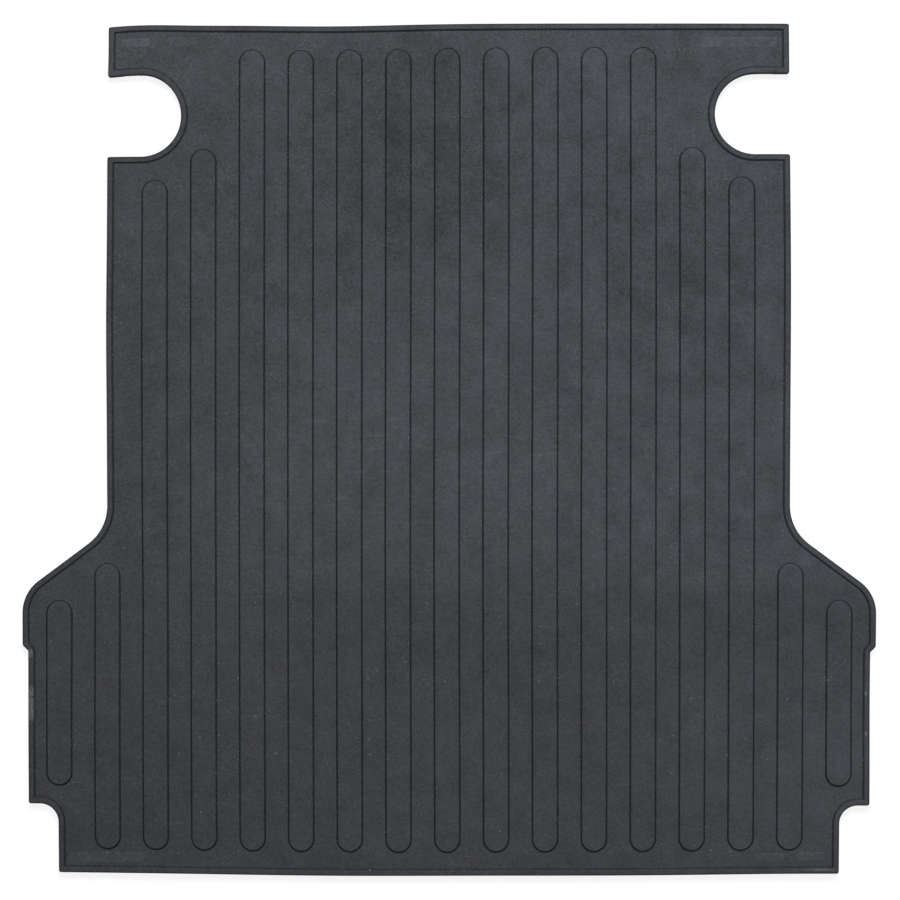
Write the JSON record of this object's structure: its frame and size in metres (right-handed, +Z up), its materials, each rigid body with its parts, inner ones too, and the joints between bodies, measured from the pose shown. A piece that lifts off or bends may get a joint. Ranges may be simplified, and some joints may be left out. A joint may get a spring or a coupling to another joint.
{
  "type": "truck bed mat",
  "caption": "Flat rubber liner for a compact pickup's cargo floor, with raised lengthwise ribs, a raised edge rim, side notches and cut-outs that clear the wheel housings.",
  "frame": {"origin": "middle of the mat's rectangle on the plane of its underside, so that the mat lies on z = 0", "axes": "+Z up out of the ribbed face, +Y towards the front (bulkhead) edge, -Y towards the tailgate edge, +X to the right seen from above with the front edge away"},
  "size_m": [1.3344, 1.328, 0.0095],
  "materials": {
    "sheet_rubber": "matte moulded charcoal rubber with fine grain",
    "rib_rubber": "matte moulded charcoal rubber with fine grain",
    "rim_rubber": "matte moulded charcoal rubber, lightly scuffed at the edge"
  },
  "bodies": {
    "root": {"base_sheet": "sheet_rubber", "edge_rim": "rim_rubber", "rib_01": "rib_rubber", "rib_02": "rib_rubber", "rib_03": "rib_rubber", "rib_04": "rib_rubber", "rib_05": "rib_rubber", "rib_06": "rib_rubber", "rib_07": "rib_rubber", "rib_08": "rib_rubber", "rib_09": "rib_rubber", "rib_10": "rib_rubber", "rib_11": "rib_rubber", "rib_12": "rib_rubber", "rib_13": "rib_rubber", "rib_14": "rib_rubber", "rib_15": "rib_rubber", "rib_16": "rib_rubber", "rib_17": "rib_rubber"}
  },
  "joints": []
}
